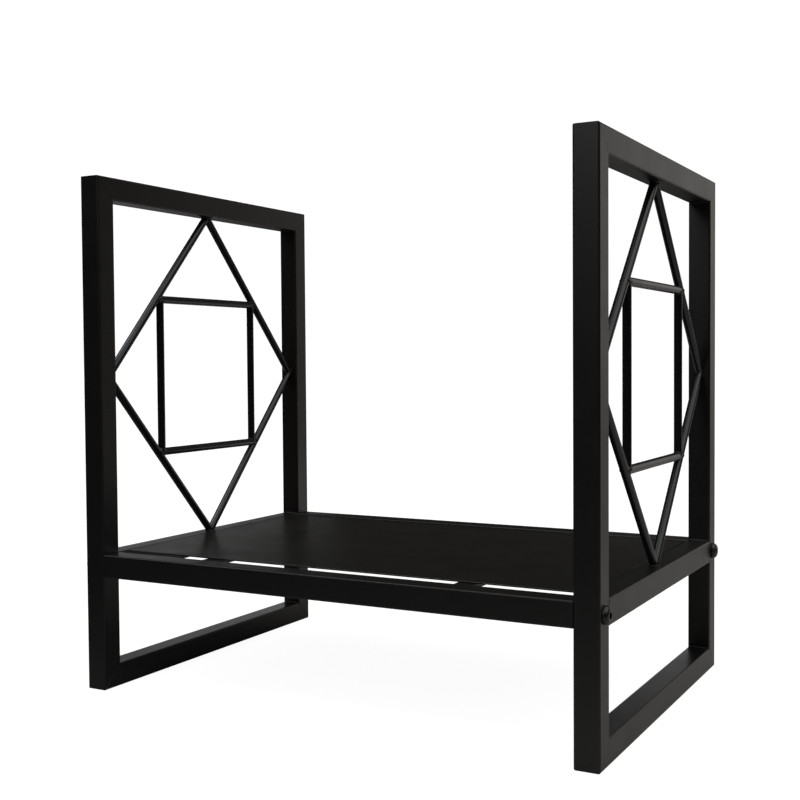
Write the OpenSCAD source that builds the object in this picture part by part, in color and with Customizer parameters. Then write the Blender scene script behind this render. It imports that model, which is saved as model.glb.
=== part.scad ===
// Firewood log rack: two welded side frames of square steel tube, each filled with a
// diamond-and-square lattice of round rod, bolted to the ends of a welded shelf.
// Millimetres, +Z up, front towards -Y. The origin is on the floor, at the centre of the footprint.

/* [Overall size] */
// Width of the rack over the outer faces of its side frames
rack_w = 600; // [480:5:760]
// Depth of the side frames, front to back
rack_d = 415; // [340:5:500]
// Height of the side frames
rack_h = 572; // [460:1:720]
// Height of the surface that the logs lie on
shelf_z = 152; // [110:1:190]

/* [Frame tube] */
// Outside size of the square frame tube
tube = 25.4; // [22:0.1:30]
// Wall thickness of the frame tube
wall = 1.2; // [1:0.1:1.6]
// Outside corner radius of the frame tube
corner_r = 2; // [1.8:0.1:3]

/* [Lattice] */
// Diameter of the round lattice rod
rod_d = 9; // [6:0.5:10]
// Clear gap between an upright of the square and the nearest diamond rod
rod_gap = 0.7; // [0.5:0.1:2]

/* [Shelf] */
// Thickness of the shelf panel
panel_t = 1.5; // [1:0.1:3]
// Open slot between the panel and the front rail, and between the panel and the rear rail
slot_w = 15; // [12:1:35]
// Clear gap between the ends of the panel and the side frames
panel_gap = 0.5; // [0.5:0.1:4]
// Corner radius of the panel
panel_corner_r = 3; // [1:0.5:10]
// Width of the two flat support bars below the panel
support_w = 20; // [12:1:30]
// Thickness of the support bars
support_t = 5; // [3:0.5:8]
// Distance from the middle of the shelf to the middle of each support bar
support_x = 152; // [100:1:200]

/* [Bolts] */
// Thread diameter of the bolts
bolt_d = 10; // [8:1:10]
// Length of a bolt below its head
bolt_l = 40; // [39:1:50]
// Diameter of the domed bolt head
head_d = 17.5; // [14:0.5:18]
// Height of the domed bolt head
head_h = 5.5; // [4:0.1:6]
// Size across flats of the hex key socket in the head
key_af = 6; // [4:0.5:6]

/* [Hidden] */

COAT = "#1b1b1d";      // black powder coat
PLATE = "#202022";     // black coated sheet
BLACK_OXIDE = "#121213"; // bolts
ZINC = "#8d9094";      // bare hardware inside the rails

LEFT = -1;
RIGHT = 1;
FRONT = -1;
REAR = 1;
UPPER = 1;
LOWER = -1;

over = 2;              // how far a cutting shape runs past what it cuts
round_fn = 64;

// Centre plane of a side frame, and the clear space between the two frames
frame_x = (rack_w - tube) / 2;
clear_w = rack_w - 2 * tube;
// Clear depth between the uprights of a side frame, and the centre line of an upright
clear_d = rack_d - 2 * tube;
upright_y = (rack_d - tube) / 2;

// The lattice fills the opening between the shelf's side rail and the top rail
lattice_bottom = shelf_z;
lattice_top = rack_h - tube;
lattice_z = (lattice_bottom + lattice_top) / 2;
diamond_y = clear_d / 2;                       // half diagonals of the diamond
diamond_z = (lattice_top - lattice_bottom) / 2;
// A square of half side s touches the diamond where s / diamond_y + s / diamond_z = 1.
// The real one is smaller by the inset, so that its corners stop short of the diamond's centre line.
corner_inset = rod_d / 2 + rod_gap;
inset_share = corner_inset * sqrt(1 / pow(diamond_y, 2) + 1 / pow(diamond_z, 2));
square_half = (1 - inset_share) * diamond_y * diamond_z / (diamond_y + diamond_z);
// Where the centre line of a level rod of the square meets the diamond's centre line
level_rod_end = diamond_y * (1 - square_half / diamond_z);

// Shelf
rail_z = shelf_z - tube / 2;                   // centre line of the shelf's rails
panel_w = clear_w - 2 * panel_gap;
panel_d = clear_d - 2 * slot_w;
support_z = shelf_z - panel_t - support_t / 2;

// Bolted joint: the bolt runs through the upright into a plate and a weld nut inside the rail's end
bolt_hole_r = bolt_d / 2 + 0.3;
plate_t = 3;
plate_fit = 0.1;                               // play of the end plate inside the tube
plate_size = tube - 2 * wall - plate_fit;
nut_af = 16;
nut_h = 8;
thread_r = bolt_d / 2 + 0.05;
socket_depth = 3;
dome_top_r = 4.5;                              // flat ring round the socket
dome_rim_h = 0.9;                              // height at which the dome leaves the rim
dome_rim_r = head_d / 2 - 0.3;
// Centre of the dome's sphere, on the bolt's axis, and the sphere's radius
dome_c = (pow(dome_top_r, 2) + pow(head_h, 2) - pow(dome_rim_r, 2) - pow(dome_rim_h, 2))
    / (2 * (head_h - dome_rim_h));
dome_r = sqrt(pow(dome_top_r, 2) + pow(head_h - dome_c, 2));

// ---- Shared shapes ----

// A rectangle with arcs for corners, centred on the origin
module round_rectangle(x_size, y_size, r) {
    square([x_size, y_size - 2 * r], center = true);
    square([x_size - 2 * r, y_size], center = true);
    for (x = [-1, 1], y = [-1, 1])
        translate([x * (x_size / 2 - r), y * (y_size / 2 - r)])
            circle(r = r, $fn = round_fn);
}

// A length of the frame's square tube along Z, centred on the origin
module bar_z(length) {
    bore = tube - 2 * wall;
    linear_extrude(height = length, center = true)
        difference() {
            round_rectangle(tube, tube, corner_r);
            round_rectangle(bore, bore, corner_r - wall);
        }
}

// The same, along Y and along X
module bar_y(length) { rotate([90, 0, 0]) bar_z(length); }
module bar_x(length) { rotate([0, 90, 0]) bar_z(length); }

// A slab across the side frame whose outline is drawn as [y, z] points
module frame_slab(outline) {
    rotate([90, 0, 90])
        linear_extrude(height = tube + 2 * over, center = true)
            polygon(outline);
}

// Puts a side frame's piece, drawn about x = 0, in the left or the right frame
module in_frame(side) { translate([side * frame_x, 0, 0]) children(); }

// ---- Side frame ----

// Upright, mitred at both ends, with a hole for the bolt through both of its side walls.
// The mitres run at 45 degrees from the frame's outer corners.
module upright(end) {
    outer = rack_d / 2;
    color(COAT)
        difference() {
            intersection() {
                translate([0, end * upright_y, rack_h / 2])
                    bar_z(rack_h + 2 * over);
                frame_slab([
                    [end * (outer + over), -over],
                    [end * (outer - tube - over), tube + over],
                    [end * (outer - tube - over), rack_h - tube - over],
                    [end * (outer + over), rack_h + over]
                ]);
            }
            translate([0, end * upright_y, rail_z])
                rotate([0, 90, 0])
                    cylinder(r = bolt_hole_r, h = tube + 2 * over, center = true, $fn = round_fn);
        }
}

// Top or bottom rail of a side frame, mitred at both ends
module end_rail(level) {
    outer = rack_d / 2;
    outer_z = level == UPPER ? rack_h : 0;
    color(COAT)
        intersection() {
            translate([0, 0, outer_z - level * tube / 2])
                bar_y(rack_d + 2 * over);
            frame_slab([
                [-outer - over, outer_z + level * over],
                [outer + over, outer_z + level * over],
                [outer - tube - over, outer_z - level * (tube + over)],
                [-outer + tube + over, outer_z - level * (tube + over)]
            ]);
        }
}

// Rail between the uprights at the height of the shelf
module shelf_side_rail() {
    color(COAT)
        translate([0, 0, rail_z])
            bar_y(clear_d);
}

// Endless diamond rod through the frame's [end, 0] and [0, level] vertices
module diamond_line(end, level) {
    slope = atan2(diamond_z, diamond_y);
    translate([0, end * diamond_y / 2, lattice_z + level * diamond_z / 2])
        rotate([end * level * (90 - slope), 0, 0])
            cylinder(d = rod_d, h = 2 * (diamond_y + diamond_z), center = true, $fn = round_fn);
}

// One of the four rods of the diamond: its ends stop at the tubes and at the next rods
module diamond_rod(end, level) {
    color(COAT)
        intersection() {
            diamond_line(end, level);
            translate([0, end * diamond_y / 2, lattice_z + level * diamond_z / 2])
                cube([2 * rod_d, diamond_y, diamond_z], center = true);
        }
}

// Endless level rod of the square
module level_line(level, length) {
    translate([0, 0, lattice_z + level * square_half])
        rotate([90, 0, 0])
            cylinder(d = rod_d, h = length, center = true, $fn = round_fn);
}

// Level rod of the square, its ends coped to fit the diamond's rods
module square_level_rod(level) {
    color(COAT)
        difference() {
            level_line(level, 2 * level_rod_end);
            diamond_line(FRONT, level);
            diamond_line(REAR, level);
        }
}

// Standing rod of the square, its ends coped to fit the level rods
module square_standing_rod(end) {
    color(COAT)
        difference() {
            translate([0, end * square_half, lattice_z])
                cylinder(d = rod_d, h = 2 * square_half, center = true, $fn = round_fn);
            level_line(UPPER, rack_d);
            level_line(LOWER, rack_d);
        }
}

// ---- Shelf ----

// Front or rear rail, between the two side frames
module shelf_rail(end) {
    color(COAT)
        translate([0, end * upright_y, rail_z])
            bar_x(clear_w);
}

// Flat sheet that the logs lie on
module shelf_panel() {
    color(PLATE)
        translate([0, 0, shelf_z - panel_t])
            linear_extrude(height = panel_t)
                round_rectangle(panel_w, panel_d, panel_corner_r);
}

// Flat bar under the panel, from the front rail to the rear rail
module shelf_support(side) {
    color(COAT)
        translate([side * support_x, 0, support_z])
            cube([support_w, clear_d, support_t], center = true);
}

// ---- Bolted joints between the shelf and the side frames ----

// Places a joint's piece, drawn along +X from the rail's end towards the side frame's outer face
module at_joint(side, end) {
    translate([side * clear_w / 2, end * upright_y, rail_z])
        rotate([0, 0, side == RIGHT ? 0 : 180])
            children();
}

// Plate welded into the end of a shelf rail
module end_plate(side, end) {
    color(ZINC)
        at_joint(side, end)
            difference() {
                translate([-plate_t / 2, 0, 0])
                    cube([plate_t, plate_size, plate_size], center = true);
                rotate([0, 90, 0])
                    cylinder(r = bolt_hole_r, h = 2 * (plate_t + over), center = true, $fn = round_fn);
            }
}

// Nut welded behind the end plate
module weld_nut(side, end) {
    color(ZINC)
        at_joint(side, end)
            translate([-plate_t - nut_h, 0, 0])
                rotate([0, 90, 0])
                    difference() {
                        cylinder(d = nut_af / cos(30), h = nut_h, $fn = 6);
                        translate([0, 0, -over])
                            cylinder(r = thread_r, h = nut_h + 2 * over, $fn = round_fn);
                    }
}

// Domed bolt with a hex key socket, head against the side frame's outer face
module bolt(side, end) {
    color(BLACK_OXIDE)
        at_joint(side, end)
            translate([tube, 0, 0])
                rotate([0, 90, 0])
                    difference() {
                        union() {
                            translate([0, 0, -bolt_l])
                                cylinder(d = bolt_d, h = bolt_l + head_h / 2, $fn = round_fn);
                            intersection() {
                                cylinder(d = head_d, h = head_h, $fn = round_fn);
                                translate([0, 0, dome_c])
                                    sphere(r = dome_r, $fn = round_fn);
                            }
                        }
                        translate([0, 0, head_h - socket_depth])
                            cylinder(d = key_af / cos(30), h = socket_depth + over, $fn = 6);
                    }
}

// ---- Left side frame ----
in_frame(LEFT) upright(FRONT);  // left_front_upright
in_frame(LEFT) upright(REAR);  // left_rear_upright
in_frame(LEFT) end_rail(UPPER);  // left_top_rail
in_frame(LEFT) end_rail(LOWER);  // left_bottom_rail
in_frame(LEFT) shelf_side_rail();  // left_shelf_side_rail
in_frame(LEFT) diamond_rod(FRONT, UPPER);  // left_diamond_rod_front_upper
in_frame(LEFT) diamond_rod(FRONT, LOWER);  // left_diamond_rod_front_lower
in_frame(LEFT) diamond_rod(REAR, UPPER);  // left_diamond_rod_rear_upper
in_frame(LEFT) diamond_rod(REAR, LOWER);  // left_diamond_rod_rear_lower
in_frame(LEFT) square_level_rod(UPPER);  // left_square_rod_top
in_frame(LEFT) square_level_rod(LOWER);  // left_square_rod_bottom
in_frame(LEFT) square_standing_rod(FRONT);  // left_square_rod_front
in_frame(LEFT) square_standing_rod(REAR);  // left_square_rod_rear

// ---- Right side frame ----
in_frame(RIGHT) upright(FRONT);  // right_front_upright
in_frame(RIGHT) upright(REAR);  // right_rear_upright
in_frame(RIGHT) end_rail(UPPER);  // right_top_rail
in_frame(RIGHT) end_rail(LOWER);  // right_bottom_rail
in_frame(RIGHT) shelf_side_rail();  // right_shelf_side_rail
in_frame(RIGHT) diamond_rod(FRONT, UPPER);  // right_diamond_rod_front_upper
in_frame(RIGHT) diamond_rod(FRONT, LOWER);  // right_diamond_rod_front_lower
in_frame(RIGHT) diamond_rod(REAR, UPPER);  // right_diamond_rod_rear_upper
in_frame(RIGHT) diamond_rod(REAR, LOWER);  // right_diamond_rod_rear_lower
in_frame(RIGHT) square_level_rod(UPPER);  // right_square_rod_top
in_frame(RIGHT) square_level_rod(LOWER);  // right_square_rod_bottom
in_frame(RIGHT) square_standing_rod(FRONT);  // right_square_rod_front
in_frame(RIGHT) square_standing_rod(REAR);  // right_square_rod_rear

// ---- Shelf ----
shelf_rail(FRONT);  // shelf_front_rail
shelf_rail(REAR);  // shelf_rear_rail
shelf_panel();
shelf_support(LEFT);  // shelf_support_left
shelf_support(RIGHT);  // shelf_support_right

// ---- Bolted joints ----
end_plate(LEFT, FRONT);  // left_front_rail_end_plate
end_plate(LEFT, REAR);  // left_rear_rail_end_plate
end_plate(RIGHT, FRONT);  // right_front_rail_end_plate
end_plate(RIGHT, REAR);  // right_rear_rail_end_plate
weld_nut(LEFT, FRONT);  // left_front_weld_nut
weld_nut(LEFT, REAR);  // left_rear_weld_nut
weld_nut(RIGHT, FRONT);  // right_front_weld_nut
weld_nut(RIGHT, REAR);  // right_rear_weld_nut
bolt(LEFT, FRONT);  // left_front_bolt
bolt(LEFT, REAR);  // left_rear_bolt
bolt(RIGHT, FRONT);  // right_front_bolt
bolt(RIGHT, REAR);  // right_rear_bolt
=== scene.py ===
"""Looks of the firewood log rack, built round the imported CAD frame.

Metres, in the frame of the CAD model: +X to the right, +Y to the rear, +Z up, the floor at zero.
Every tube, rod, sheet and bolt is built here as a finished piece in the place its CAD node holds,
and the weld beads between them are pieces of their own.
"""

import math

import bmesh
import bpy
from mathutils import Matrix, Quaternion, Vector, noise


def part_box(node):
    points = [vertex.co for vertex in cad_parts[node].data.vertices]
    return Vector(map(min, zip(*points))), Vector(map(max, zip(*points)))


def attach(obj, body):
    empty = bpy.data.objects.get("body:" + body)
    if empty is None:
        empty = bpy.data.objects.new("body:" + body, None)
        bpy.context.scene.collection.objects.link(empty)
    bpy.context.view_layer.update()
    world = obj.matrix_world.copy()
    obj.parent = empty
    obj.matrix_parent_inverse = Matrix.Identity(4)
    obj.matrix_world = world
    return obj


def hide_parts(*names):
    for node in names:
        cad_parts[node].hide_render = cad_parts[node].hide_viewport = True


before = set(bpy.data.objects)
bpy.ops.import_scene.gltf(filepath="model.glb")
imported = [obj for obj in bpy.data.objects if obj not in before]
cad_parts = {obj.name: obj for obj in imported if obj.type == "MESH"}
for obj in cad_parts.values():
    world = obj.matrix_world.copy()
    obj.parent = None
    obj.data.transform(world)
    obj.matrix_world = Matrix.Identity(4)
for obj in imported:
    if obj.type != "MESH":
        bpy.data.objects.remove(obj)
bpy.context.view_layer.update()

MM = 0.001
X, Y, Z = Vector((1, 0, 0)), Vector((0, 1, 0)), Vector((0, 0, 1))
SIDES = {"left": -1, "right": 1}
ENDS = {"front": -1, "rear": 1}
LEVELS = {"lower": -1, "upper": 1}


# ---- Sizes ----

def size_of(node):
    """Width, depth and height of a CAD node."""
    low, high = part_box(node)
    return high - low


def middle_of(node):
    """Centre of a CAD node's box."""
    low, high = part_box(node)
    return (low + high) / 2


TUBE = size_of("shelf_front_rail").z
ROD_R = size_of("left_square_rod_top").x / 2
WALL = 1.2 * MM
TUBE_CORNER = 2.0 * MM
BAR_EDGE = 0.5 * MM             # radius of the long edges of a flat support bar
SEAM = 0.3 * MM                 # the small bevel round a cut end, which leaves a fine groove at a joint
HOLE_R = 5.3 * MM               # bolt hole in an upright
HOLE_OVER = 2 * MM              # how far a hole's cutter runs past the tube
CORNER_STEPS = 8                # steps along a quarter circle at an outline's corner
ROD_STEPS = 48                  # points round a rod
SHARP_TURN = math.radians(35)   # edges that turn more than this are shaded sharp

# Lattice of a side frame: the diamond fills the opening above the shelf's side rail
DIAMOND_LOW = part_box("left_shelf_side_rail")[1].z
DIAMOND_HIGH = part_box("left_top_rail")[0].z
DIAMOND_Z = (DIAMOND_HIGH - DIAMOND_LOW) / 2                    # its half diagonals
DIAMOND_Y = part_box("left_rear_upright")[0].y
LATTICE_Z = (DIAMOND_HIGH + DIAMOND_LOW) / 2                    # height of its middle
SQUARE_HALF = middle_of("left_square_rod_top").z - LATTICE_Z    # half the square, between rod axes
LEVEL_ROD_END = DIAMOND_Y * (1 - SQUARE_HALF / DIAMOND_Z)       # Y where a level rod meets the diamond

# Weld beads: shares are of the bead's own radius
BEAD_R = 1.4 * MM               # beads of the square tubes and support bars
SMALL_BEAD_R = 1.0 * MM         # beads of the lattice
RIPPLE_PITCH = 1.7 * MM
RIPPLE_DEPTH = 0.16             # share
SWELL = 0.14                    # share by which a bead is thicker here and thinner there
SWELL_LENGTH = 4 * MM
WANDER = 0.15 * MM              # how far a bead strays from its line
WANDER_LENGTHS = (5 * MM, 6 * MM)
END_AREA = 0.04                 # share of the section that is left at an open end
SUPPORT_BEAD_HALF = 0.4         # half a support bar's bead, as a share of the bar's width
BEAD_STEPS = 10                 # points round a bead
RINGS_PER_RIPPLE = 5
FOOT_STEPS = 40                 # points along the loop at a diamond vertex's foot
CROTCH_STEPS = 16               # spans along the bead between two rods of a vertex

# Shelf panel
PANEL_CORNER = 3.0 * MM
PANEL_EDGE = 0.35 * MM          # bevel round the sheet
PANEL_WAVE = 0.12 * MM          # how deep its waves are
PANEL_WAVE_LENGTH = 110 * MM
PANEL_WAVE_TOP = 0.6            # noise that leaves the sheet at its CAD height, and less lowers it
PANEL_STIFF_EDGE = 30 * MM      # the waves fade out over this far from the sheet's edge
PANEL_CELL = 14 * MM            # size of the mesh's cells

# Bolts
BOLT_R = 5.0 * MM
THREAD_LENGTH = 26 * MM
THREAD_PITCH = 1.5 * MM
THREAD_DEPTH = 0.85 * MM
KEY_AF = 6.0 * MM               # across the flats of the hex socket
SOCKET_DEPTH = 3.0 * MM
HEAD_FLAT_R = 4.5 * MM          # radius of the flat on top of the dome
HEAD_RIM = 0.9 * MM             # height of the straight rim below the dome
HEAD_EDGE = 0.25 * MM           # bevel of the rim's foot and of the socket's mouth
NECK = 0.3 * MM                 # fillet between shank and head
TIP_CHAMFER = 0.9 * MM
SOCKET_POINT = 0.4 * MM         # drill point at the socket's bottom
SLICES_PER_TURN = 6             # of the thread
DOME_STEPS = 10
BOLT_STEPS = 48                 # points round a bolt


# ---- Skins: closed surfaces made of rings of points ----

def loft(rings, caps=None):
    """Joins rings of equally many points. Without caps the last ring joins the first, as in a hollow tube.
    With caps, a pair of middle points, the two end rings are closed by fans round those points."""
    count = len(rings[0])
    points = [point for ring in rings for point in ring]
    faces = []
    spans = len(rings) - (1 if caps else 0)
    for k in range(spans):
        here = k * count
        there = (k + 1) % len(rings) * count
        for i in range(count):
            j = (i + 1) % count
            faces.append((here + i, here + j, there + j, there + i))
    if caps:
        first, last = len(points), len(points) + 1
        end = (len(rings) - 1) * count
        points.extend(caps)
        for i in range(count):
            j = (i + 1) % count
            faces.append((first, j, i))
            faces.append((last, end + i, end + j))
    return points, faces


def arc_rectangle(size_a, size_b, radius):
    """Outline of a rectangle with arcs for corners, about the origin, as (first, second) pairs."""
    outline = []
    for quarter in range(4):
        middle = math.radians(45 + 90 * quarter)
        centre_a = math.copysign(size_a / 2 - radius, math.cos(middle))
        centre_b = math.copysign(size_b / 2 - radius, math.sin(middle))
        for step in range(CORNER_STEPS + 1):
            turn = math.radians(90 * quarter) + math.pi / 2 * step / CORNER_STEPS
            outline.append((centre_a + radius * math.cos(turn), centre_b + radius * math.sin(turn)))
    return outline


def circle(radius, count):
    """Points of a circle as (first, second) pairs."""
    turns = [2 * math.pi * i / count for i in range(count)]
    return [(radius * math.cos(t), radius * math.sin(t)) for t in turns]


def hexagon(across_flats, count):
    """`count` points along a hexagon with a corner at its top, each on the same turn as that point of a
    circle."""
    points = []
    for i in range(count):
        turn = 2 * math.pi * i / count
        from_flat = (turn + math.pi / 6) % (math.pi / 3) - math.pi / 6
        reach = across_flats / 2 / math.cos(from_flat)
        points.append((reach * math.cos(turn), reach * math.sin(turn)))
    return points


def add_piece(name, skins, material, replaced=(), holes=()):
    """Makes one object of these skins. It rides on the rack's only body and stands for the CAD nodes."""
    points, faces = [], []
    for skin_points, skin_faces in skins:
        start = len(points)
        points.extend(skin_points)
        faces.extend(tuple(start + i for i in face) for face in skin_faces)
    mesh = bpy.data.meshes.new(name)
    mesh.from_pydata(points, [], faces)
    mesh.materials.append(material)
    piece = bpy.data.objects.new(name, mesh)
    bpy.context.scene.collection.objects.link(piece)
    for cutter in holes:
        cut_out(piece, cutter)
    soften(piece)
    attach(piece, "root")
    if replaced:
        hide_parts(*replaced)
    return piece


def cut_out(piece, skin):
    """Subtracts a skin from a piece."""
    mesh = bpy.data.meshes.new("cutter")
    mesh.from_pydata(skin[0], [], skin[1])
    cutter = bpy.data.objects.new("cutter", mesh)
    bpy.context.scene.collection.objects.link(cutter)
    change = piece.modifiers.new("hole", "BOOLEAN")
    change.operation = "DIFFERENCE"
    change.solver = "EXACT"
    change.object = cutter
    view = bpy.context.evaluated_depsgraph_get()
    result = bpy.data.meshes.new_from_object(piece.evaluated_get(view))
    piece.modifiers.clear()
    piece.data = result
    bpy.data.objects.remove(cutter)


def soften(piece):
    """Smooth shading with true flats and sharp edges."""
    piece.data.shade_smooth()
    piece.data.set_sharp_from_angle(angle=SHARP_TURN)
    flats = piece.modifiers.new("true_flats", "WEIGHTED_NORMAL")
    flats.keep_sharp = True


# ---- Materials ----

NOISE_LOW, NOISE_HIGH = 0.3, 0.7    # nearly all of a noise lies between these
CLOUD = 60 * MM                     # size of the coat's lighter and darker patches
GLOSS_PATCH = 40 * MM               # size of its shinier and duller patches
PEEL = 0.9 * MM                     # size of its orange peel
WEAR_SPOT = 3 * MM                  # size of the worn spots on the bolts
OXIDE_GRAIN = 0.5 * MM
STAIN = 6 * MM                      # size of the zinc's stains
ZINC_GRAIN = 0.4 * MM
GRAIN_DEPTH = 0.01 * MM


def new_material(name):
    """A material, its node tree and its Principled shader."""
    material = bpy.data.materials.new(name)
    material.use_nodes = True
    tree = material.node_tree
    shader = tree.nodes["Principled BSDF"]
    return material, tree, shader


def add_node(tree, kind, inputs=None, **settings):
    """Adds a node, sets its properties, and sets or joins its inputs."""
    node = tree.nodes.new(kind)
    for key, value in settings.items():
        setattr(node, key, value)
    for key, value in (inputs or {}).items():
        if isinstance(value, bpy.types.NodeSocket):
            tree.links.new(value, node.inputs[key])
        else:
            node.inputs[key].default_value = value
    return node


def object_noise(tree, wavelength, detail=2.0, roughness=0.5):
    """Noise fixed to the object, with features about `wavelength` metres across."""
    place = add_node(tree, "ShaderNodeTexCoord")
    inputs = {
        "Vector": place.outputs["Object"],
        "Scale": 1 / wavelength,
        "Detail": detail,
        "Roughness": roughness,
    }
    return add_node(tree, "ShaderNodeTexNoise", inputs).outputs["Fac"]


def ramp_colour(tree, factor, low, high, start=NOISE_LOW, stop=NOISE_HIGH):
    """Colour that goes from `low` to `high` as the factor goes from start to stop."""
    ramp = add_node(tree, "ShaderNodeValToRGB", {"Fac": factor})
    ramp.color_ramp.elements[0].position = start
    ramp.color_ramp.elements[0].color = (*low, 1)
    ramp.color_ramp.elements[1].position = stop
    ramp.color_ramp.elements[1].color = (*high, 1)
    return ramp.outputs["Color"]


def spread(tree, factor, low, high, start=NOISE_LOW, stop=NOISE_HIGH):
    """Number that goes from `low` to `high` as the factor goes from start to stop."""
    inputs = {"Value": factor, "From Min": start, "From Max": stop, "To Min": low, "To Max": high}
    return add_node(tree, "ShaderNodeMapRange", inputs).outputs["Result"]


def bumps(tree, layers):
    """Stacked bumps, each a height socket and a depth."""
    normal = None
    for height, depth in layers:
        inputs = {"Height": height, "Strength": 1.0, "Distance": depth}
        if normal:
            inputs["Normal"] = normal
        normal = add_node(tree, "ShaderNodeBump", inputs).outputs["Normal"]
    return normal


def powder_coat(name, dark, light, roughness, peel_depth, tint=(1, 1, 1)):
    """Black powder coat: near-black with faint clouds, fine orange peel and slightly uneven gloss.
    `tint` colours what it mirrors."""
    material, tree, shader = new_material(name)
    clouds = object_noise(tree, CLOUD, detail=3)
    peel = object_noise(tree, PEEL, detail=1)
    gloss = object_noise(tree, GLOSS_PATCH, detail=2)
    tree.links.new(ramp_colour(tree, clouds, dark, light), shader.inputs["Base Color"])
    tree.links.new(spread(tree, gloss, *roughness), shader.inputs["Roughness"])
    tree.links.new(bumps(tree, [(peel, peel_depth)]), shader.inputs["Normal"])
    shader.inputs["Specular Tint"].default_value = (*tint, 1)
    return material


def black_oxide(name):
    """Oiled black finish of the bolts, a little worn to grey in spots."""
    material, tree, shader = new_material(name)
    black, worn = (0.0025, 0.0025, 0.003), (0.007, 0.007, 0.008)
    wear = object_noise(tree, WEAR_SPOT, detail=6, roughness=0.65)
    grain = object_noise(tree, OXIDE_GRAIN, detail=2)
    colour = ramp_colour(tree, wear, black, worn, start=0.45, stop=0.8)
    tree.links.new(colour, shader.inputs["Base Color"])
    tree.links.new(spread(tree, wear, 0.26, 0.36), shader.inputs["Roughness"])
    tree.links.new(bumps(tree, [(grain, GRAIN_DEPTH)]), shader.inputs["Normal"])
    return material


def bare_steel(name):
    """Dull zinc of the hardware that the rails hide."""
    material, tree, shader = new_material(name)
    stained, clean = (0.30, 0.31, 0.32), (0.48, 0.49, 0.50)
    stain = object_noise(tree, STAIN, detail=5)
    grain = object_noise(tree, ZINC_GRAIN, detail=2)
    colour = ramp_colour(tree, stain, stained, clean)
    tree.links.new(colour, shader.inputs["Base Color"])
    tree.links.new(spread(tree, stain, 0.32, 0.5), shader.inputs["Roughness"])
    tree.links.new(bumps(tree, [(grain, GRAIN_DEPTH)]), shader.inputs["Normal"])
    shader.inputs["Metallic"].default_value = 1.0
    return material


FRAME_COAT = powder_coat(
    "frame_coat",
    dark=(0.0030, 0.0030, 0.0033),
    light=(0.0050, 0.0049, 0.0050),
    roughness=(0.34, 0.38),
    peel_depth=0.012 * MM,
)
ROD_COAT = powder_coat(
    "rod_coat",
    dark=(0.0030, 0.0030, 0.0034),
    light=(0.0048, 0.0049, 0.0053),
    roughness=(0.22, 0.28),
    peel_depth=0.008 * MM,
    tint=(0.88, 0.93, 1.0),
)
SHELF_SHEET = powder_coat(
    "shelf_sheet",
    dark=(0.0030, 0.0030, 0.0031),
    light=(0.0050, 0.0049, 0.0048),
    roughness=(0.36, 0.42),
    peel_depth=0.012 * MM,
)
BOLT_BLACK = black_oxide("bolt_black_oxide")
BARE_STEEL = bare_steel("bare_steel")


# ---- Square tubes ----

def square_tube(node, axis, outer=None):
    """Skin of a hollow tube along an axis (0, 1 or 2). `outer`, as (axis, sign), is the frame's outer side:
    the tube's ends are then mitred at 45 degrees, longest along that side. Otherwise they are square."""
    low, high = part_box(node)
    centre = (low + high) / 2
    first, second = (axis + 1) % 3, (axis + 2) % 3

    def ring(outline, end, inset):
        """The outline at the tube's low end (-1) or high end (1), set in from the cut."""
        points = []
        for a, b in outline:
            point = centre.copy()
            point[first] += a
            point[second] += b
            shift = inset
            if outer:
                side, sign = outer
                shift += TUBE / 2 - sign * (point[side] - centre[side])
            point[axis] = low[axis] + shift if end < 0 else high[axis] - shift
            points.append(point)
        return points

    full = arc_rectangle(TUBE, TUBE, TUBE_CORNER)
    bevelled = arc_rectangle(TUBE - 2 * SEAM, TUBE - 2 * SEAM, TUBE_CORNER - SEAM)
    bore = arc_rectangle(TUBE - 2 * WALL, TUBE - 2 * WALL, TUBE_CORNER - WALL)
    return loft([
        ring(bevelled, -1, 0),
        ring(full, -1, SEAM),
        ring(full, 1, SEAM),
        ring(bevelled, 1, 0),
        ring(bore, 1, 0),
        ring(bore, -1, 0),
    ])


def add_tube(node, axis, outer=None, holes=()):
    """The finished piece for one square tube."""
    skin = square_tube(node, axis, outer)
    return add_piece(f"{node}_tube", [skin], FRAME_COAT, [node], holes)


def cross_hole(node, height, radius):
    """Cutter for a hole along X through a node at a height."""
    low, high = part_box(node)
    y = (low.y + high.y) / 2
    ends = (low.x - HOLE_OVER, high.x + HOLE_OVER)
    rings = [[Vector((x, y + a, height + b)) for a, b in circle(radius, ROD_STEPS)] for x in ends]
    return loft(rings, [Vector((x, y, height)) for x in ends])


def add_side_frame_tubes(side):
    """The four mitred tubes of a side frame and its shelf side rail."""
    bolt_height = middle_of("shelf_front_rail").z
    for end, sign in ENDS.items():
        node = f"{side}_{end}_upright"
        hole = cross_hole(node, bolt_height, HOLE_R)
        add_tube(node, 2, outer=(1, sign), holes=[hole])
    add_tube(f"{side}_top_rail", 1, outer=(2, 1))
    add_tube(f"{side}_bottom_rail", 1, outer=(2, -1))
    add_tube(f"{side}_shelf_side_rail", 1)


def add_support_bar(node):
    """Flat bar along Y with softened edges."""
    low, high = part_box(node)
    size = high - low
    full = arc_rectangle(size.x, size.z, BAR_EDGE)
    bevelled = arc_rectangle(size.x - 2 * SEAM, size.z - 2 * SEAM, BAR_EDGE - SEAM)
    middle_x, middle_z = (low.x + high.x) / 2, (low.z + high.z) / 2
    rings = []
    for outline, y in (
        (bevelled, high.y),
        (full, high.y - SEAM),
        (full, low.y + SEAM),
        (bevelled, low.y),
    ):
        rings.append([Vector((middle_x + a, y, middle_z + b)) for a, b in outline])
    caps = (Vector((middle_x, high.y, middle_z)), Vector((middle_x, low.y, middle_z)))
    add_piece(f"{node}_bar", [loft(rings, caps)], FRAME_COAT, [node])


# ---- Lattice rods ----

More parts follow.
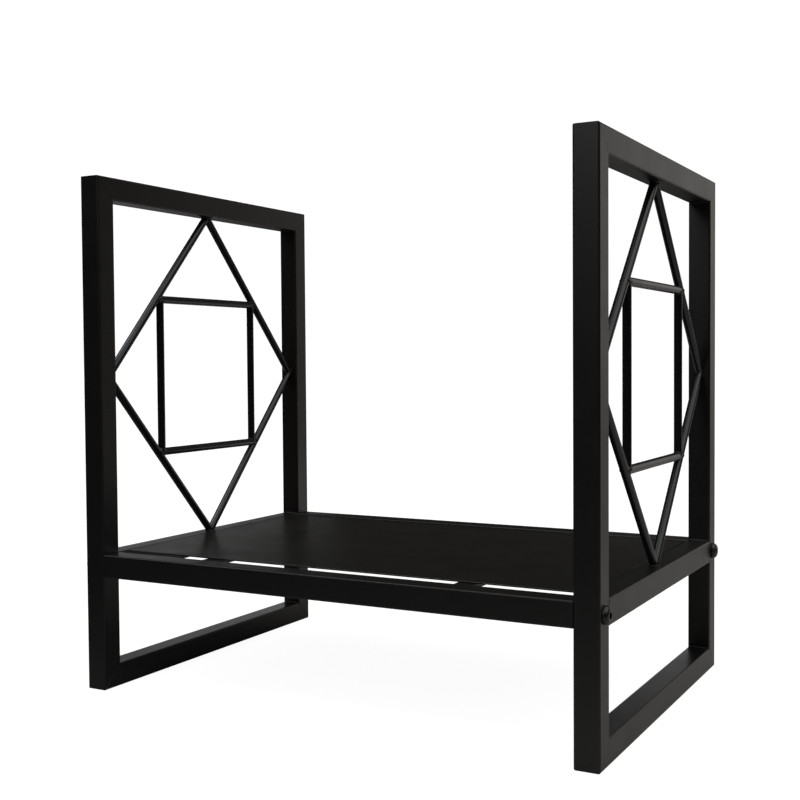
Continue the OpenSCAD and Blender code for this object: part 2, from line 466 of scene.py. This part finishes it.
def plane_cut(*planes):
    """An end cut by planes, each (point, normal): a line along the rod stops at the first that it meets."""
    def stops(start, direction):
        """How far along the line each plane lies."""
        return [(point - start).dot(normal) / direction.dot(normal) for point, normal in planes]
    return stops


def cope_cut(point, axis, radius):
    """An end coped to fit a round rod that runs through `point` along `axis`."""
    def stops(start, direction):
        """How far along the line the two crossings of the other rod lie."""
        offset = start - point
        offset = offset - axis * offset.dot(axis)
        across = direction - axis * direction.dot(axis)
        square, middle = across.dot(across), offset.dot(across)
        spare = max(0.0, middle * middle - square * (offset.dot(offset) - radius * radius))
        return [(-middle - math.sqrt(spare)) / square, (-middle + math.sqrt(spare)) / square]
    return stops


def round_rod(start, end, start_cut, end_cut):
    """Skin of a round rod between two cuts, along the line from start to end in a plane across X."""
    along = (end - start).normalized()
    across = along.cross(X)
    rings = [[], []]
    for a, b in circle(ROD_R, ROD_STEPS):
        line = start + X * a + across * b
        rings[0].append(line + along * max(start_cut(line, along)))
        rings[1].append(line + along * min(end_cut(line, along)))
    caps = (start + along * max(start_cut(start, along)), start + along * min(end_cut(start, along)))
    return loft(rings, caps)


def frame_x(side):
    """X of a side frame's centre plane."""
    return middle_of(f"{side}_top_rail").x


def diamond_line(side, end, level):
    """The diamond's side and level vertices that a rod joins, and the rod's direction."""
    x = frame_x(side)
    at_upright = Vector((x, ENDS[end] * DIAMOND_Y, LATTICE_Z))
    at_rail = Vector((x, 0, LATTICE_Z + LEVELS[level] * DIAMOND_Z))
    return at_upright, at_rail, (at_rail - at_upright).normalized()


def add_rod(node, skin):
    """The finished piece for one lattice rod."""
    return add_piece(f"{node}_bar", [skin], ROD_COAT, [node])


def add_diamond(side):
    """Four rods from vertex to vertex. Each stops at the tube and at its plane with the next rod."""
    for end in ENDS:
        for level in LEVELS:
            at_upright, at_rail, _ = diamond_line(side, end, level)
            skin = round_rod(
                at_upright,
                at_rail,
                plane_cut((at_upright, Y), (at_upright, Z)),
                plane_cut((at_rail, Y), (at_rail, Z)),
            )
            add_rod(f"{side}_diamond_rod_{end}_{level}", skin)


def add_square(side):
    """Two level rods coped to the diamond and two standing rods coped to the level rods."""
    x = frame_x(side)
    for level, name in (("upper", "top"), ("lower", "bottom")):
        z = LATTICE_Z + LEVELS[level] * SQUARE_HALF
        cuts = []
        for end in ENDS:
            at_upright, _, direction = diamond_line(side, end, level)
            cuts.append(cope_cut(at_upright, direction, ROD_R))
        skin = round_rod(
            Vector((x, -LEVEL_ROD_END, z)), Vector((x, LEVEL_ROD_END, z)), *cuts
        )
        add_rod(f"{side}_square_rod_{name}", skin)
    for end, sign in ENDS.items():
        low = Vector((x, sign * SQUARE_HALF, LATTICE_Z - SQUARE_HALF))
        high = Vector((x, sign * SQUARE_HALF, LATTICE_Z + SQUARE_HALF))
        skin = round_rod(low, high, cope_cut(low, Y, ROD_R), cope_cut(high, Y, ROD_R))
        add_rod(f"{side}_square_rod_{end}", skin)


# ---- Weld beads ----

def bead(path, up, radius, closed=False):
    """Skin of a weld bead: a rippled round section along a path, a little uneven, tapered at open ends."""
    if closed:
        path = path + [path[0]]
    lengths = [0.0]
    for here, there in zip(path, path[1:]):
        lengths.append(lengths[-1] + (there - here).length)
    total = lengths[-1]
    ripples = max(2, round(total / RIPPLE_PITCH))
    count = ripples * RINGS_PER_RIPPLE
    rings = []
    for k in range(count + (0 if closed else 1)):
        along = total * k / count
        point, tangent = point_on(path, lengths, along)
        across = tangent.cross(up).normalized()
        rise = tangent.cross(across)
        phase = (k % RINGS_PER_RIPPLE) / RINGS_PER_RIPPLE
        swell = 1 + RIPPLE_DEPTH * (math.sin(math.pi * phase) - 0.5)
        swell += SWELL * noise.noise(point / SWELL_LENGTH)
        if not closed:
            to_end = min(along, total - along) / radius
            swell *= math.sqrt(max(END_AREA, 1 - max(0.0, 1 - to_end) ** 2))
        aside, above = [noise.noise(point / length) * WANDER for length in WANDER_LENGTHS]
        middle = point + across * aside + rise * above
        rings.append([middle + (across * a + rise * b) * swell for a, b in circle(radius, BEAD_STEPS)])
    if closed:
        return loft(rings)
    return loft(rings, (path[0], path[-1]))


def point_on(path, lengths, along):
    """The point this far along a path, and the path's direction there."""
    for k in range(1, len(path)):
        if along <= lengths[k] or k == len(path) - 1:
            share = (along - lengths[k - 1]) / (lengths[k] - lengths[k - 1])
            return path[k - 1].lerp(path[k], share), (path[k] - path[k - 1]).normalized()


def foot_loop(vertex, along_wall, lean):
    """Ellipse where the two rods of a diamond vertex stand on a tube's wall, at the angle `lean` to it."""
    long_half = ROD_R / math.sin(lean)
    path = []
    for i in range(FOOT_STEPS):
        turn = 2 * math.pi * i / FOOT_STEPS
        path.append(vertex + X * ROD_R * math.cos(turn) + along_wall * long_half * math.sin(turn))
    return path


def crotch_arc(vertex, inward, half_angle):
    """Half ellipse along which the two rods of a vertex touch, round the inside of the corner."""
    reach = ROD_R / math.sin(half_angle)
    path = []
    for i in range(CROTCH_STEPS + 1):
        turn = math.pi * i / CROTCH_STEPS
        path.append(vertex + X * ROD_R * math.cos(turn) + inward * reach * math.sin(turn))
    return path


def cope_loop(start, direction, cut):
    """Closed path round a rod's coped end."""
    across = direction.cross(X)
    path = []
    for a, b in circle(ROD_R, ROD_STEPS):
        line = start + X * a + across * b
        path.append(line + direction * min(cut(line, direction)))
    return path


def add_lattice_welds(side):
    """Beads where rods meet tubes and other rods."""
    x = frame_x(side)
    slope = math.atan2(DIAMOND_Z, DIAMOND_Y)
    skins = []
    for sign in (-1, 1):
        at_rail = Vector((x, 0, LATTICE_Z + sign * DIAMOND_Z))
        skins.append(bead(foot_loop(at_rail, Y, slope), Z, SMALL_BEAD_R, closed=True))
        skins.append(bead(crotch_arc(at_rail, -Z * sign, math.pi / 2 - slope), Y, SMALL_BEAD_R))
        at_upright = Vector((x, sign * DIAMOND_Y, LATTICE_Z))
        skins.append(bead(foot_loop(at_upright, Z, math.pi / 2 - slope), Y, SMALL_BEAD_R, closed=True))
        skins.append(bead(crotch_arc(at_upright, -Y * sign, slope), Z, SMALL_BEAD_R))
    for level, height in LEVELS.items():
        z = LATTICE_Z + height * SQUARE_HALF
        for end, sign in ENDS.items():
            at_upright, _, direction = diamond_line(side, end, level)
            cut = cope_cut(at_upright, direction, ROD_R)
            loop = cope_loop(Vector((x, 0, z)), Y * sign, cut)
            skins.append(bead(loop, Y, SMALL_BEAD_R, closed=True))
            corner = Vector((x, sign * SQUARE_HALF, z))
            halfway = Vector((x, sign * SQUARE_HALF, LATTICE_Z))
            loop = cope_loop(halfway, Z * height, cope_cut(corner, Y, ROD_R))
            skins.append(bead(loop, Z, SMALL_BEAD_R, closed=True))
    add_piece(f"{side}_lattice_welds", skins, ROD_COAT)


def across_bead(x, y, z, half):
    """Straight bead along X, `half` long to each side of x."""
    return bead([Vector((x - half, y, z)), Vector((x, y, z)), Vector((x + half, y, z))], Z, BEAD_R)


def add_frame_welds(side):
    """Beads across the inner corners of a side frame and at the ends of its shelf side rail."""
    x = frame_x(side)
    half = TUBE / 2 - TUBE_CORNER
    rail_low, rail_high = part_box(f"{side}_shelf_side_rail")
    heights = (
        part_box(f"{side}_bottom_rail")[1].z,
        rail_low.z,
        rail_high.z,
        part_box(f"{side}_top_rail")[0].z,
    )
    skins = [across_bead(x, sign * DIAMOND_Y, z, half) for sign in (-1, 1) for z in heights]
    add_piece(f"{side}_frame_welds", skins, FRAME_COAT)


def add_shelf_welds():
    """Beads under the ends of the support bars, where they meet the shelf's rails."""
    skins = []
    inner_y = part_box("shelf_rear_rail")[0].y
    for side in SIDES:
        low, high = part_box(f"shelf_support_{side}")
        half = (high.x - low.x) * SUPPORT_BEAD_HALF
        for y in (-inner_y, inner_y):
            skins.append(across_bead((low.x + high.x) / 2, y, low.z, half))
    add_piece("shelf_support_welds", skins, FRAME_COAT)


# ---- Shelf panel ----

def add_panel():
    """Thin sheet with rounded corners and edges, and the faint waves that sheet steel has."""
    low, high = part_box("shelf_panel")
    centre = (low + high) / 2
    size = high - low

    def ring(inset, z):
        """The sheet's outline, set in from its edge, at a height."""
        outline = arc_rectangle(size.x - 2 * inset, size.y - 2 * inset, PANEL_CORNER - inset)
        return [Vector((centre.x + a, centre.y + b, z)) for a, b in outline]

    rings = [
        ring(PANEL_EDGE, low.z),
        ring(0, low.z + PANEL_EDGE),
        ring(0, high.z - PANEL_EDGE),
        ring(PANEL_EDGE, high.z),
    ]
    sheet = bmesh.new()
    loops = [[sheet.verts.new(point) for point in points] for points in rings]
    count = len(loops[0])
    for below, above in zip(loops, loops[1:]):
        for i in range(count):
            j = (i + 1) % count
            sheet.faces.new((below[i], below[j], above[j], above[i]))
    sheet.faces.new(loops[0][::-1])
    sheet.faces.new(loops[-1])
    for axis in (0, 1):
        cuts = int(size[axis] / PANEL_CELL)
        for k in range(1, cuts):
            point = centre.copy()
            point[axis] = low[axis] + size[axis] * k / cuts
            normal = (X, Y)[axis]
            every = sheet.verts[:] + sheet.edges[:] + sheet.faces[:]
            bmesh.ops.bisect_plane(sheet, geom=every, plane_co=point, plane_no=normal)
    for vert in sheet.verts:
        place = vert.co
        inset = min(place.x - low.x, high.x - place.x, place.y - low.y, high.y - place.y)
        share = min(1.0, inset / PANEL_STIFF_EDGE)
        wave = noise.noise(Vector((place.x, place.y, 0)) / PANEL_WAVE_LENGTH)
        vert.co.z += PANEL_WAVE * share * (wave - PANEL_WAVE_TOP)
    sheet.verts.index_update()
    points = [vert.co.copy() for vert in sheet.verts]
    faces = [tuple(vert.index for vert in face.verts) for face in sheet.faces]
    sheet.free()
    add_piece("shelf_panel_sheet", [(points, faces)], SHELF_SHEET, ["shelf_panel"])


# ---- Bolts ----

def thread_outline(height, depth):
    """One slice across the thread: its radius follows the turn."""
    outline = []
    for i in range(BOLT_STEPS):
        turn = 2 * math.pi * i / BOLT_STEPS
        phase = (height / THREAD_PITCH - i / BOLT_STEPS) % 1
        radius = BOLT_R - depth * abs(2 * phase - 1)
        outline.append((radius * math.cos(turn), radius * math.sin(turn)))
    return outline


def shank_slices(shank):
    """Outlines from the bolt's tip to its seat, each with its height above the seat."""
    slices = [(circle(BOLT_R - TIP_CHAMFER, BOLT_STEPS), -shank)]
    start = -shank + THREAD_DEPTH
    count = round(THREAD_LENGTH / THREAD_PITCH) * SLICES_PER_TURN
    for k in range(count + 1):
        height = start + (THREAD_LENGTH - THREAD_DEPTH) * k / count
        fade = min(1.0, (count - k) / SLICES_PER_TURN)
        slices.append((thread_outline(height, THREAD_DEPTH * fade), height))
    slices.append((circle(BOLT_R, BOLT_STEPS), -NECK))
    slices.append((circle(BOLT_R + NECK, BOLT_STEPS), 0))
    return slices


def head_slices(head_r, head_h):
    """Outlines from the seat over the dome and down into the hex socket, each with its height."""
    slices = [
        (circle(head_r - HEAD_EDGE, BOLT_STEPS), 0),
        (circle(head_r, BOLT_STEPS), HEAD_EDGE),
        (circle(head_r, BOLT_STEPS), HEAD_RIM),
    ]
    for k in range(1, DOME_STEPS + 1):
        turn = math.pi / 2 * k / DOME_STEPS
        radius = HEAD_FLAT_R + (head_r - HEAD_FLAT_R) * math.cos(turn)
        slices.append((circle(radius, BOLT_STEPS), HEAD_RIM + (head_h - HEAD_RIM) * math.sin(turn)))
    mouth_r = KEY_AF / 2 / math.cos(math.pi / 6) + HEAD_EDGE
    slices.append((circle(mouth_r, BOLT_STEPS), head_h))
    slices.append((hexagon(KEY_AF, BOLT_STEPS), head_h - HEAD_EDGE))
    slices.append((hexagon(KEY_AF, BOLT_STEPS), head_h - SOCKET_DEPTH))
    return slices


def add_bolt(side, end):
    """Domed bolt with a hex socket and a rolled thread, its head against the frame's outer face."""
    node = f"{side}_{end}_bolt"
    low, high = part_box(node)
    outward = SIDES[side]
    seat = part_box(f"{side}_{end}_upright")[1 if outward > 0 else 0].x
    head_h = abs((high.x if outward > 0 else low.x) - seat)
    shank = abs((low.x if outward > 0 else high.x) - seat)
    head_r = (high.z - low.z) / 2
    centre_y, centre_z = (low.y + high.y) / 2, (low.z + high.z) / 2

    def place(height, a=0.0, b=0.0):
        """A point at a height above the seat, off the bolt's axis by (a, b)."""
        return Vector((seat + outward * height, centre_y + outward * a, centre_z + b))

    slices = shank_slices(shank) + head_slices(head_r, head_h)
    rings = [[place(height, a, b) for a, b in outline] for outline, height in slices]
    caps = (place(-shank), place(head_h - SOCKET_DEPTH - SOCKET_POINT))
    add_piece(f"{node}_screw", [loft(rings, caps)], BOLT_BLACK, [node])


# ---- The rack ----

for side in SIDES:
    add_side_frame_tubes(side)
    add_diamond(side)
    add_square(side)
    add_lattice_welds(side)
    add_frame_welds(side)
    for end in ENDS:
        add_bolt(side, end)
for end in ENDS:
    add_tube(f"shelf_{end}_rail", 0)
for side in SIDES:
    add_support_bar(f"shelf_support_{side}")
add_shelf_welds()
add_panel()
for node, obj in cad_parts.items():
    if node.endswith(("end_plate", "weld_nut")):
        obj.data.materials[0] = BARE_STEEL


# ---- Studio: floor, light and camera ----

FLOOR_REACH = 30.0              # half the floor's width
FLOOR_DROP = 0.2 * MM           # how far it lies below the feet, so that no faces share a plane
FLOOR_GLOW = 0.95               # what the camera sees of the floor in full shadow
FLOOR_SEEN = 0.28               # the floor's colour for the camera
FLOOR_NEAR = 0.62               # painted light: the floor's colour in reflections, a painted pool of light round the rack
FLOOR_GLOWING = 0.6             # the same, far towards the glow
FLOOR_FRONT = 0.1               # the same, far in front
FLOOR_FAR = 0.012               # the same, far from the rack elsewhere
POOL_CENTRE = (0.55, 0.35, 0)   # middle of the floor's painted pool of light
POOL_EDGE = (0.5, 1.5)          # distances from it between which the painted light fades to dark
# Where those parts of the floor and the lights round the rack lie. Each START and STOP is the cosine of
# the angle to the direction above it at which they begin and are full.
FRONT_TOWARD = Vector((-0.3, -0.95, 0)).normalized()    # the floor in front
FRONT_START, FRONT_STOP = 0.0, 0.7
WEDGE_TOWARD = Vector((0.36, 0.93, 0)).normalized()     # the floor towards the glow
WEDGE_START, WEDGE_STOP = 0.92, 0.98
GLOW_TOWARD = Vector((0.25, 0.965, 0.05)).normalized()  # the glow behind the rack
GLOW_START, GLOW_STOP = 0.91, 0.98
GLOW_LEVEL = 0.56
CEILING_TOWARD = Vector((0.4, 0, 0.92)).normalized()    # the ceiling
CEILING_START, CEILING_STOP = 0.6, 0.92
CEILING_LEVEL = 1.3
DIM_LEVEL = 0.022               # brightness of everything else round the rack
STUDIO_COLOUR = (1.05, 1.0, 0.94, 1)
BACKDROP_LEVEL = 1.05           # what the camera sees behind the rack
CAMERA_PLACE = Vector((1.1100, -2.0741, 0.6420))    # in rack heights
CAMERA_AZIMUTH = math.radians(28.575)
CAMERA_TILT = math.radians(2.0)
CAMERA_ROLL = math.radians(-0.41)
CAMERA_SENSOR = 36.0            # millimetres, as the lens
CAMERA_LENS = 52.74
CAMERA_NEAR = 0.05              # nothing closer than this is seen


def lean_glow(tree, place, toward, start, stop, low, high):
    """A brightness that grows smoothly from low to high as a direction leans towards another."""
    lean = add_node(tree, "ShaderNodeVectorMath", {0: place, 1: toward}, operation="DOT_PRODUCT")
    inputs = {
        "Value": lean.outputs["Value"],
        "From Min": start,
        "From Max": stop,
        "To Min": low,
        "To Max": high,
    }
    grown = add_node(tree, "ShaderNodeMapRange", inputs, interpolation_type="SMOOTHSTEP")
    return grown.outputs["Result"]


def add_floor():
    """Large pale floor: white for the camera, and in reflections a painted pool of light, bright only round
    the rack, towards the glow and a little in front. Seen from below it is clear, so that the underside can
    be looked at."""
    mesh = bpy.data.meshes.new("floor")
    corners = [(a * FLOOR_REACH, b * FLOOR_REACH, 0) for a, b in ((-1, -1), (1, -1), (1, 1), (-1, 1))]
    mesh.from_pydata(corners, [], [(0, 1, 2, 3)])
    floor = bpy.data.objects.new("floor", mesh)
    floor.location.z = -FLOOR_DROP
    bpy.context.scene.collection.objects.link(floor)
    material = bpy.data.materials.new("pale_floor")
    material.use_nodes = True
    tree = material.node_tree
    tree.nodes.clear()
    matt = add_node(tree, "ShaderNodeBsdfDiffuse", {"Color": (FLOOR_SEEN,) * 3 + (1,)})
    glow = add_node(tree, "ShaderNodeEmission", {"Color": (1, 1, 1, 1), "Strength": FLOOR_GLOW})
    lit = add_node(tree, "ShaderNodeAddShader", {0: matt.outputs[0], 1: glow.outputs[0]})
    ground = add_node(tree, "ShaderNodeTexCoord").outputs["Object"]
    # Painted light: the floor's colour in reflections is a painted pool of light round the rack, with
    # painted bright wedges towards the glow and in front
    away = add_node(tree, "ShaderNodeVectorMath", {0: ground, 1: POOL_CENTRE}, operation="DISTANCE")
    pool = spread(tree, away.outputs["Value"], FLOOR_NEAR, FLOOR_FAR, *POOL_EDGE)
    bearing = add_node(tree, "ShaderNodeVectorMath", {0: ground}, operation="NORMALIZE").outputs[0]
    wedge = lean_glow(tree, bearing, WEDGE_TOWARD, WEDGE_START, WEDGE_STOP, FLOOR_FAR, FLOOR_GLOWING)
    front = lean_glow(tree, bearing, FRONT_TOWARD, FRONT_START, FRONT_STOP, FLOOR_FAR, FLOOR_FRONT)
    far = add_node(tree, "ShaderNodeMath", {0: front, 1: wedge}, operation="MAXIMUM").outputs[0]
    painted_floor_light = add_node(tree, "ShaderNodeMath", {0: pool, 1: far}, operation="MAXIMUM").outputs[0]
    dull = add_node(tree, "ShaderNodeBsdfDiffuse", {"Color": painted_floor_light})
    ray = add_node(tree, "ShaderNodeLightPath")
    seen = {"Fac": ray.outputs["Is Camera Ray"], 1: dull.outputs[0], 2: lit.outputs[0]}
    top = add_node(tree, "ShaderNodeMixShader", seen)
    clear = add_node(tree, "ShaderNodeBsdfTransparent")
    face = add_node(tree, "ShaderNodeNewGeometry")
    sides = {"Fac": face.outputs["Backfacing"], 1: top.outputs[0], 2: clear.outputs[0]}
    both = add_node(tree, "ShaderNodeMixShader", sides)
    add_node(tree, "ShaderNodeOutputMaterial", {"Surface": both.outputs[0]})
    mesh.materials.append(material)


def add_surroundings():
    """Soft studio light: a bright ceiling, a glow behind the rack and a little to its right, and little
    elsewhere. The camera sees a white backdrop in its place."""
    world = bpy.data.worlds.new("studio")
    bpy.context.scene.world = world
    world.use_nodes = True
    tree = world.node_tree
    tree.nodes.clear()
    place = add_node(tree, "ShaderNodeTexCoord").outputs["Generated"]
    glow = lean_glow(tree, place, GLOW_TOWARD, GLOW_START, GLOW_STOP, DIM_LEVEL, GLOW_LEVEL)
    ceiling = lean_glow(tree, place, CEILING_TOWARD, CEILING_START, CEILING_STOP, 0.0, CEILING_LEVEL)
    both = add_node(tree, "ShaderNodeMath", {0: glow, 1: ceiling}, operation="ADD")
    studio = add_node(tree, "ShaderNodeBackground", {"Strength": both.outputs[0]})
    backdrop = add_node(tree, "ShaderNodeBackground", {"Strength": BACKDROP_LEVEL})
    studio.inputs["Color"].default_value = STUDIO_COLOUR
    backdrop.inputs["Color"].default_value = (1, 1, 1, 1)
    ray = add_node(tree, "ShaderNodeLightPath")
    seen = {"Fac": ray.outputs["Is Camera Ray"], 1: studio.outputs[0], 2: backdrop.outputs[0]}
    mixed = add_node(tree, "ShaderNodeMixShader", seen)
    add_node(tree, "ShaderNodeOutputWorld", {"Surface": mixed.outputs[0]})


def add_softbox(name, place, target, size, glow, along=X):
    """A rectangular area light that faces a target, its first side turned as near to `along` as it can be.
    `glow` is its brightness, one for pure white."""
    back = (Vector(place) - Vector(target)).normalized()
    side = (along - back * along.dot(back)).normalized()
    light = bpy.data.lights.new(name, "AREA")
    light.shape = "RECTANGLE"
    light.size, light.size_y = size
    light.energy = math.pi * size[0] * size[1] * glow
    lamp = bpy.data.objects.new(name, light)
    lamp.location = place
    lamp.rotation_mode = "QUATERNION"
    lamp.rotation_quaternion = Matrix((side, back.cross(side), back)).transposed().to_quaternion()
    lamp.visible_camera = False
    bpy.context.scene.collection.objects.link(lamp)


def add_softboxes():
    """A softbox in front, one overhead for the front rail's upper edge, and two low strips behind that
    light the tops of the bottom rails."""
    add_softbox(
        "front_softbox",
        place=(-0.3, -2.6, 1.65),
        target=(0.2, 0, 0.4),
        size=(0.9, 0.9),
        glow=2.95,
    )
    add_softbox(
        "edge_softbox",
        place=(-0.94, -0.5, 1.6),
        target=(0, -0.2, 0.15),
        size=(1.4, 0.3),
        glow=4.2,
    )
    add_softbox(
        "left_strip",
        place=(-0.83, 0.66, 0.22),
        target=(-0.29, 0, 0.03),
        size=(0.55, 0.11),
        glow=1.05,
        along=Vector((-0.94, 0, 0.34)),
    )
    add_softbox(
        "right_strip",
        place=(0.14, 0.66, 0.12),
        target=(0.29, 0, 0.03),
        size=(0.3, 0.12),
        glow=0.75,
    )


def add_camera():
    """A camera at a low height in front of the rack and to its right, looking slightly down."""
    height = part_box("left_top_rail")[1].z
    data = bpy.data.cameras.new("camera")
    data.sensor_width = CAMERA_SENSOR
    data.lens = CAMERA_LENS
    data.clip_start = CAMERA_NEAR
    camera = bpy.data.objects.new("camera", data)
    camera.location = CAMERA_PLACE * height
    level = Vector((math.sin(CAMERA_AZIMUTH), -math.cos(CAMERA_AZIMUTH), 0))
    back = level * math.cos(CAMERA_TILT) + Z * math.sin(CAMERA_TILT)
    camera.rotation_mode = "QUATERNION"
    camera.rotation_quaternion = (-back).to_track_quat("-Z", "Y") @ Quaternion(Z, CAMERA_ROLL)
    bpy.context.scene.collection.objects.link(camera)
    bpy.context.scene.camera = camera


add_floor()
add_surroundings()
add_softboxes()
add_camera()
bpy.context.scene.view_settings.view_transform = "Standard"

bpy.context.view_layer.update()
